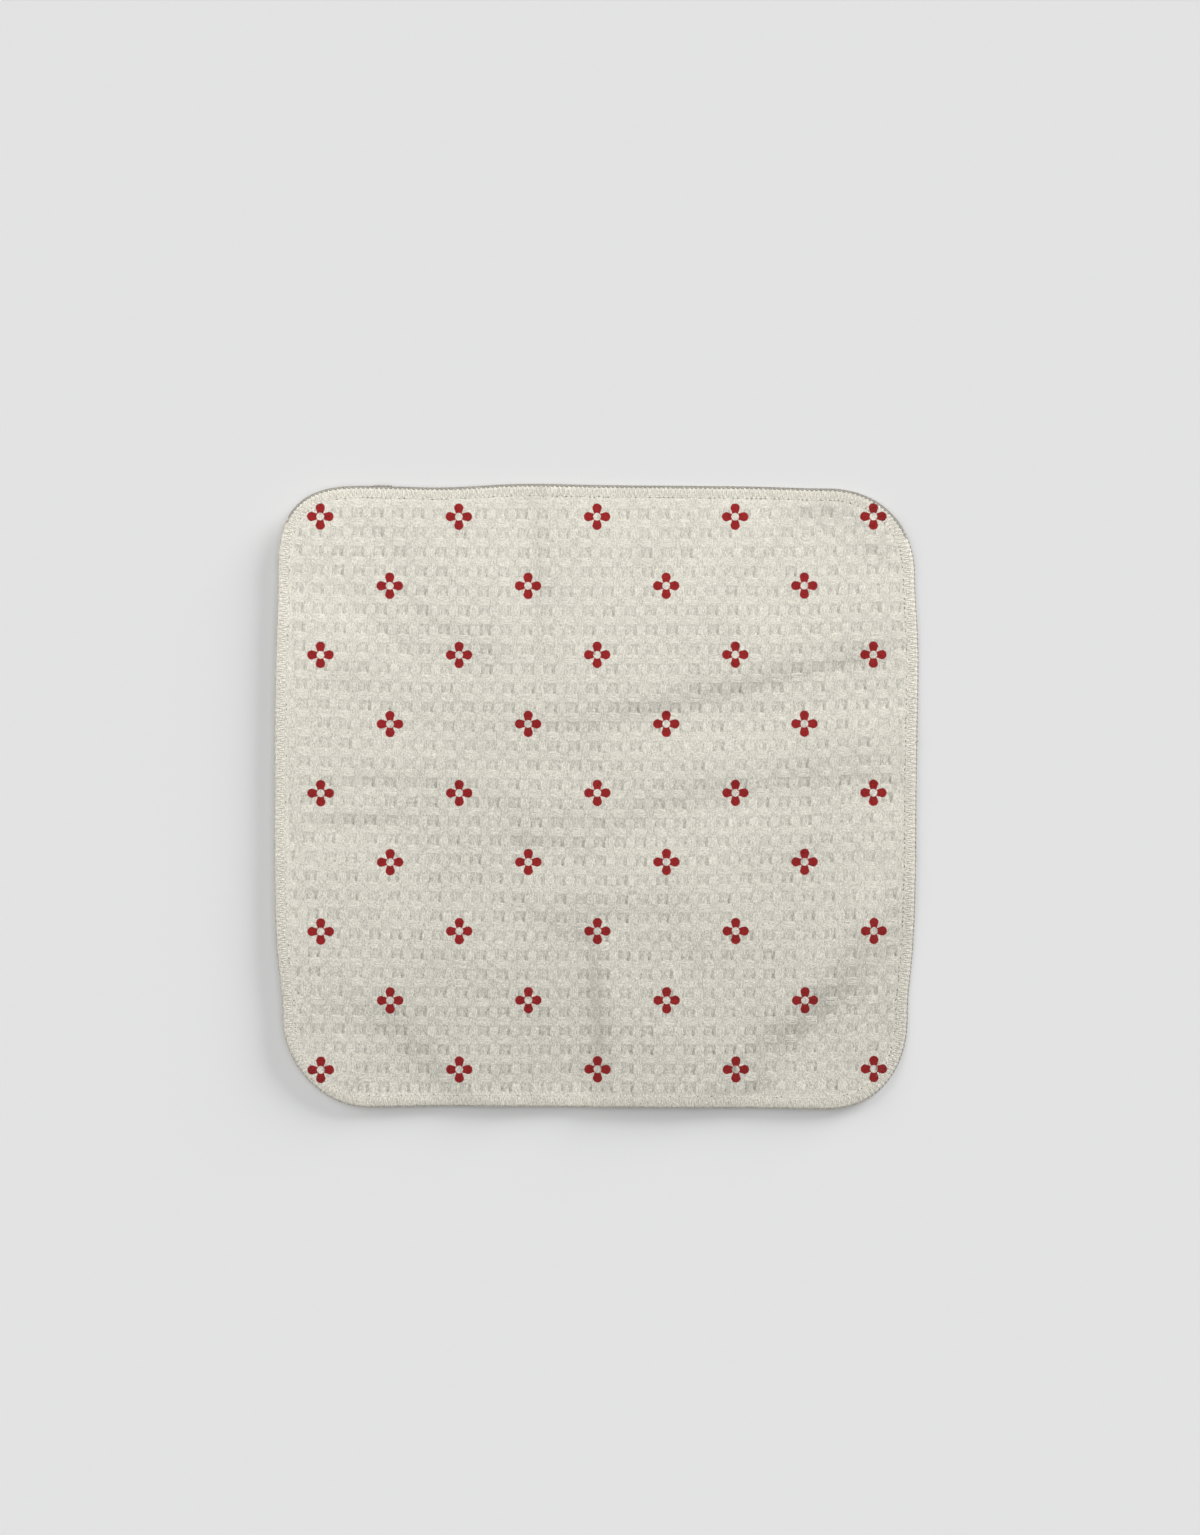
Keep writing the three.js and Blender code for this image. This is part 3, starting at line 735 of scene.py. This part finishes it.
mat_face = cloth_material("waffle_face", True, "face")
mat_under = cloth_material("waffle_underside", False, "face")
mat_upright = cloth_material("waffle_floats_upright", True, "upright")
mat_across = cloth_material("waffle_floats_across", True, "across")
mat_thread = cloth_material("edge_thread", True, "edge", THREAD)
mat_thread_under = cloth_material("edge_thread_underside", False, "edge", THREAD)
mat_chain = cloth_material("edge_chain", False, "edge", CHAIN)
mat_chain_painted_shade = cloth_material("edge_chain_painted_shade", False, "edge", CHAIN_PAINTED_SHADE)
mat_hole_painted_shade = cloth_material("stitch_holes_painted_shade", False, "edge", HOLE_PAINTED_SHADE)

sheet = write_mesh("cloth_sheet", all_points, faces, [mat_face, mat_under], under)
# the painted shade of the hollows, kept on the sheet's points
sheet.data.attributes.new("painted_shade", "FLOAT", "POINT").data.foreach_set("value", painted_shade.astype(np.float32))
plan_map(sheet, -HALF_X, -HALF_Y, HALF_X, HALF_Y, under == 0, (0.002, 0.002, 0.80, 0.778))
plan_map(sheet, -HALF_X, -HALF_Y, HALF_X, HALF_Y, under == 1, (0.81, 0.81, 0.998, 0.992))


# ---------------------------------------------------------------- floats
STATIONS = np.array([0.0, 0.18, 0.5, 0.80, 1.0])
ARCH = np.array([0.0, 0.70, 1.0, 0.90, 0.3])
SECTION = np.radians([90, 22, -48, -132, 158])  # five sides, flat below


def float_bundles(upright):
    """All bundles of one direction: four strands each, pinched at their ends and bowed between."""
    cells = [(i, j) for i in range(-18, 18) for j in range(-18, 18)]
    ci = np.array([c[0] for c in cells])
    cj = np.array([c[1] for c in cells])
    kind = 1 if upright else 2
    if upright:
        centre, length, width = (0.432, 0.478), 0.45, 0.42
    else:
        centre, length, width = (0.95, 0.915), 0.56, 0.44
    X, Y = place_of(ci + centre[0], cj + centre[1])
    d = inwards_exact(X, Y)
    keep = d > BAND + 1.2
    ci, cj = ci[keep], cj[keep]
    points, faces = [], []
    count = 0
    r = lambda seed: hashed(ci, cj, np.full(ci.shape, seed + 100 * kind))
    size = 0.93 + 0.14 * r(1)
    rise = 0.85 + 0.30 * r(2)
    lean = 0.04 * (r(3) - 0.5) + (-0.05 if upright else 0.05)
    for k in range(4):
        row = k - 1.5
        wiggle = r(10 + k) - 0.5
        t = STATIONS[None, :]
        bow = np.sin(np.pi * t) ** 0.7
        spread = 0.80 + 0.24 * bow * size[:, None]
        across = row * (width / 4) * spread + lean[:, None] * (t - 0.5) + 0.035 * wiggle[:, None] * bow
        if upright:
            # the inner strands lean towards each other lower down
            across = across - np.sign(row) * (abs(row) < 1) * 0.022 * (t - 0.45)
            U = ci[:, None] + centre[0] + across
            V = cj[:, None] + centre[1] + (t - 0.5) * length
        else:
            # a small gap opens between the middle strands at their left end
            across = across + np.sign(row) * (abs(row) < 1) * 0.030 * np.exp(-((t / 0.28) ** 2)) + 0.022 * bow
            U = ci[:, None] + centre[0] + (t - 0.5) * length
            V = cj[:, None] + centre[1] + across
        x, y = place_of(U, V)
        inner = inwards_exact(x.ravel(), y.ravel()).reshape(x.shape)
        fade = smooth((inner - BAND - 0.1) / 1.8)
        # the outer strands of an upright bundle ride highest, and the inner ones of the others
        crown = 1.0 if (abs(row) > 1) == upright else 0.72
        z0 = underside(x.ravel(), y.ravel()).reshape(x.shape)
        middle = FLOAT_END + (FLOAT_RISE - FLOAT_END) * ARCH[None, :] * rise[:, None] * (0.9 + 0.1 * crown)
        level = LEVEL + middle * fade - 0.35 * (1 - fade)
        # local frame: along the strand and across it
        dx, dy = np.gradient(x, axis=1), np.gradient(y, axis=1)
        n = np.hypot(dx, dy)
        ax, ay = -dy / n, dx / n
        half_w = (width / 4) * (9.79 if upright else 9.06) * 0.60 * (0.72 + 0.28 * bow) * (0.94 + 0.12 * r(20 + k)[:, None])
        half_h = (UPRIGHT_HALF_H if upright else ACROSS_HALF_H) * crown * (0.72 + 0.28 * bow)
        for a in SECTION:
            c, s = math.cos(a), math.sin(a)
            points.append(np.stack([x + ax * half_w * c, y + ay * half_w * c, z0 + level + half_h * s], -1))
    # points: list of 4*5 arrays (cells, stations, 3)
    P = np.stack(points, 1)  # cells, 20, stations, 3
    n_cells = P.shape[0]
    P = P.reshape(n_cells, 4, 5, 5, 3)
    flat = P.reshape(-1, 3)
    strand = np.arange(n_cells * 4) * 25
    quads = []
    for side in range(5):
        nxt = (side + 1) % 5
        for st in range(4):
            a = side * 5 + st
            b = nxt * 5 + st
            quads.append(np.stack([strand + a, strand + a + 1, strand + b + 1, strand + b], -1))
    quads = np.concatenate(quads).tolist()
    caps = []
    for st in (0, 4):
        order = [s * 5 + st for s in range(5)]
        if st == 0:
            order = order
        else:
            order = order[::-1]
        caps.append(np.stack([strand + o for o in order], -1))
    caps = np.concatenate(caps).tolist()
    return flat, quads + caps


pieces = []
for upright, name, mat in ((True, "floats_upright", mat_upright), (False, "floats_across", mat_across)):
    pts, fcs = float_bundles(upright)
    piece = write_mesh(name, pts, fcs, [mat])
    # a strand's upper side is a shallow arch: its shading stops at the strand's borders and ends
    ends = np.empty(len(piece.data.edges) * 2, np.int32)
    piece.data.edges.foreach_get("vertices", ends)
    spots, stations = ends.reshape(-1, 2) % 25 // 5, ends.reshape(-1, 2) % 5
    border = ((spots[:, 0] == spots[:, 1]) & np.isin(spots[:, 0], (1, 4))) | np.isin(spots, (2, 3)).any(1)
    border |= (stations[:, 0] == stations[:, 1]) & np.isin(stations[:, 0], (0, 4))
    sharp = piece.data.attributes.new("sharp_edge", "BOOLEAN", "EDGE")
    sharp.data.foreach_set("value", border)
    plan_map(piece, -HALF_X, -HALF_Y, HALF_X, HALF_Y, None, (0.002, 0.002, 0.998, 0.998))
    pieces.append(piece)

# ---------------------------------------------------------------- edge thread


def tube(path, radius_w, radius_h, closed, sides=5):
    """A thread along a path. Its section's width lies flat and its height stands up."""
    path = np.asarray(path, float)
    n = len(path)
    if closed:
        tangent = np.roll(path, -1, 0) - np.roll(path, 1, 0)
    else:
        tangent = np.gradient(path, axis=0)
    tangent /= np.linalg.norm(tangent, axis=1)[:, None]
    side = np.cross(tangent, np.array([0, 0, 1.0]))
    side /= np.maximum(np.linalg.norm(side, axis=1), 1e-6)[:, None]
    up = np.cross(side, tangent)
    pts = []
    for k in range(sides):
        a = 2 * math.pi * k / sides + math.pi / 2
        pts.append(path + side * (math.cos(a) * radius_w) + up * (math.sin(a) * radius_h))
    pts = np.stack(pts, 1).reshape(-1, 3)
    fcs = []
    for i in range(n if closed else n - 1):
        j = (i + 1) % n
        for k in range(sides):
            k2 = (k + 1) % sides
            fcs.append([i * sides + k, j * sides + k, j * sides + k2, i * sides + k2])
    if not closed:
        fcs.append([k for k in range(sides)])
        fcs.append([(n - 1) * sides + k for k in range(sides)][::-1])
    return pts, fcs


def edge_path(s, d, level):
    x, y = edge_point(s, d)
    return np.c_[x, y, underside(x, y) + level]


STITCHES = int(round(PERIMETER / STITCH))
pitch = PERIMETER / STITCHES
i = np.arange(STITCHES)[:, None]
jit = 0.10 * (hashed(np.arange(STITCHES), np.full(STITCHES, 7)) - 0.5)[:, None]
reach = 0.25 * (hashed(np.arange(STITCHES), np.full(STITCHES, 8)) - 0.5)[:, None]

over = np.array([  # along (in stitches), inside, level: one stitch of the thread over the edge
    (0.00, 4.75, BAND_LEVEL - 0.02),
    (0.13, 4.20, BAND_LEVEL + 0.10),
    (0.30, 2.40, BAND_LEVEL + 0.14),
    (0.44, 0.75, BAND_LEVEL + 0.08),
    (0.50, -0.12, 0.80),
    (0.56, 0.75, BAND_LEVEL + 0.08),
    (0.70, 2.40, BAND_LEVEL + 0.14),
    (0.87, 4.20, BAND_LEVEL + 0.10),
])
s = (i + over[None, :, 0] + jit * (over[None, :, 1] < 1)) * pitch
d = over[None, :, 1] + reach * (over[None, :, 1] > 4)
level = np.broadcast_to(over[None, :, 2], s.shape)
over_path = edge_path(s.ravel(), d.ravel(), level.ravel())

below = np.array([
    (0.00, 4.60, 0.20),
    (0.28, 2.60, 0.17),
    (0.46, 0.60, 0.20),
    (0.50, 0.00, 0.42),
    (0.54, 0.60, 0.20),
    (0.72, 2.60, 0.17),
])
s = (i + below[None, :, 0] + 0.25) * pitch
d = np.broadcast_to(below[None, :, 1], s.shape)
level = np.broadcast_to(below[None, :, 2], s.shape)
below_path = edge_path(s.ravel(), d.ravel(), level.ravel())

all_pts, all_fcs, all_mat = [], [], []
offset = 0


def add(part, material):
    global offset
    pts, fcs = part
    all_pts.append(pts)
    all_fcs.extend([[v + offset for v in f] for f in fcs])
    all_mat.extend([material] * len(fcs))
    offset += len(pts)


add(tube(over_path, 0.26, 0.15, True), 0)
add(tube(below_path, 0.20, 0.13, True), 4)

# the chain where the threads lock, along the rim: it lies on the rim's upper side along the top edge
chain_n = STITCHES * 4
cs = np.arange(chain_n) * PERIMETER / chain_n
phase = 2 * math.pi * np.arange(chain_n) / 4
outer_x, outer_y = edge_point(cs, -1.0)
inner_x, inner_y = edge_point(cs, 0.0)
top_side = smooth((outer_y - inner_y - 0.1) / 0.8)
right_side = smooth((outer_x - inner_x - 0.1) / 0.8)
chain_path = edge_path(cs, -0.12 - 0.12 * top_side - 0.14 * (0.5 + 0.5 * np.cos(phase)) + 0.20 * top_side, 0.68 + 0.14 * np.sin(phase) + 0.30 * top_side)
part = tube(chain_path, (0.21 + 0.09 * top_side)[:, None], 0.24, True, 6)
start = len(all_mat)
add(part, 1)
# its faces come in rings of six, one ring a step; along the top edge all of it takes the darker colour of painted
# shade, and along the right edge every other half stitch does
in_painted_shade = (top_side > 0.5) | ((right_side > 0.5) & (np.arange(chain_n) % 4 < 2))
all_mat[start:] = [3 if in_painted_shade[f // 6] else 1 for f in range(len(part[1]))]
# a second chain along the top edge's rim, in the painted-shade colour
second = np.nonzero(top_side > 0.3)[0]
chain_path = edge_path(cs[second], 0.42 + 0.16 * (0.5 + 0.5 * np.cos(phase[second])), 1.36 + 0.08 * np.sin(phase[second] + 1.5))
add(tube(chain_path, 0.34, 0.15, False, 6), 3)

# the stitching's end, laid back over its beginning, and the loose end of its thread, both in the chain's painted-shade
# colour
scan = np.arange(0, PERIMETER, 0.25)
scan_x, scan_y = edge_point(scan, 0.0)
from_s, to_s = (float(scan[np.argmin(np.hypot(scan_x - x, scan_y - 148))]) for x in OVERLAP)
t = np.linspace(0, 1, 27)
lap = smooth(t / 0.55)
add(tube(edge_path(from_s + (to_s - from_s) * t, 0.25 - 0.80 * lap + 0.08 * np.cos(t * 40), 1.02 + 0.08 * np.sin(t * 40)), 0.30, 0.22, False, 6), 3)
s_end = float(scan[np.argmin(np.hypot(scan_x - THREAD_END[0], scan_y - THREAD_END[1]))])
add(tube(edge_path(s_end + np.array([0.0, 0.15, 0.4, 0.9]), np.array([0.6, -0.1, -0.5, -0.75]), np.array([1.40, 1.15, 0.95, 0.85])), 0.22, 0.18, False, 5), 3)

# needle stitches: short dashes along the band's inner side, and between some of them small dark marks of painted shade
# for the holes
for k in range(STITCHES):
    s0 = (k + 0.14) * pitch
    s1 = (k + 0.86) * pitch
    ss = np.linspace(s0, s1, 4)
    inner = BAND + 0.12 + float(reach[k, 0]) * 0.5
    p = edge_path(ss, np.full(4, inner), BAND_LEVEL + np.array([-0.05, 0.10, 0.10, -0.05]))
    add(tube(p, 0.17, 0.14, False, 5), 0)
    chance, length, shift = (float(hashed(np.array(k), np.array(q))) for q in (21, 22, 23))
    # fewer of them show along the left and bottom edges
    if chance < 0.20 + 0.42 * max(top_side[4 * k], right_side[4 * k]):
        ss = k * pitch + (0.30 + 0.45 * length) * np.array([-0.5, 0.0, 0.5]) * 1.3
        p = edge_path(ss, np.full(3, inner + 0.28 + 0.35 * (shift - 0.5)), BAND_LEVEL + np.array([0.04, 0.09, 0.04]))
        add(tube(p, 0.17, 0.07, False, 5), 2)

edge = write_mesh("edge_overlock", np.vstack(all_pts), all_fcs, [mat_thread, mat_chain, mat_hole_painted_shade, mat_chain_painted_shade, mat_thread_under], all_mat)
below_edge = np.array(all_mat) == 4
plan_map(edge, -HALF_X - 1, -HALF_Y - 1, HALF_X + 1, HALF_Y + 1, ~below_edge, (0.002, 0.002, 0.80, 0.80))
plan_map(edge, -HALF_X - 1, -HALF_Y - 1, HALF_X + 1, HALF_Y + 1, below_edge, (0.81, 0.81, 0.998, 0.998))
pieces.append(edge)

# ---------------------------------------------------------------- riding, replacing
for piece in [sheet] + pieces:
    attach(piece, "root")
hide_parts("cloth")

# ---------------------------------------------------------------- floor, light and camera
floor_mesh = bpy.data.meshes.new("floor")
floor_mesh.from_pydata([(-6, -6, 0), (6, -6, 0), (6, 6, 0), (-6, 6, 0)], [], [(0, 1, 2, 3)])
floor = bpy.data.objects.new("floor", floor_mesh)
bpy.context.scene.collection.objects.link(floor)
floor_mat = bpy.data.materials.new("floor_plain")
floor_mat.use_nodes = True
floor_bsdf = floor_mat.node_tree.nodes["Principled BSDF"]
floor_bsdf.inputs["Base Color"].default_value = (0.80, 0.80, 0.80, 1)
floor_bsdf.inputs["Roughness"].default_value = 1.0
floor_bsdf.inputs["Specular IOR Level"].default_value = 0.0
floor_mesh.materials.append(floor_mat)


FLOOR_LIGHT = 0.96


def sun(name, azimuth, elevation, strength, angle, colour=(1, 1, 1)):
    """Azimuth from +Y towards +X."""
    light = bpy.data.lights.new(name, "SUN")
    light.energy = strength
    light.angle = math.radians(angle)
    light.color = colour
    o = bpy.data.objects.new(name, light)
    a, e = math.radians(azimuth), math.radians(elevation)
    to_light = Vector((math.sin(a) * math.cos(e), math.cos(a) * math.cos(e), math.sin(e)))
    o.rotation_euler = to_light.to_track_quat("Z", "Y").to_euler()
    o.location = to_light * 3
    bpy.context.scene.collection.objects.link(o)
    return o


# each light's share of what falls on the floor
for name, azimuth, elevation, angle, share in (
    ("key", 48, 20, 34, 0.26),
    ("side", -62, 28, 44, 0.175),
    ("above", 200, 88, 44, 0.375),
):
    sun(name, azimuth, elevation, share * FLOOR_LIGHT * math.pi / math.sin(math.radians(elevation)), angle)
world = bpy.data.worlds.new("studio")
world.use_nodes = True
world.node_tree.nodes["Background"].inputs["Color"].default_value = (0.985, 0.99, 1.0, 1)
world.node_tree.nodes["Background"].inputs["Strength"].default_value = 0.19 * FLOOR_LIGHT
bpy.context.scene.world = world

camera_data = bpy.data.cameras.new("camera")
camera_data.type = "PERSP"
camera_data.lens = 135
camera_data.sensor_width = 36
camera_data.clip_end = 50
camera = bpy.data.objects.new("camera", camera_data)
camera.location = (0.001545, 0.01379, 2.737)
camera.rotation_euler = (0, 0, 0)
bpy.context.scene.collection.objects.link(camera)
bpy.context.scene.camera = camera
bpy.context.scene.view_settings.view_transform = "Standard"
bpy.context.scene.view_settings.look = "None"

bpy.context.view_layer.update()
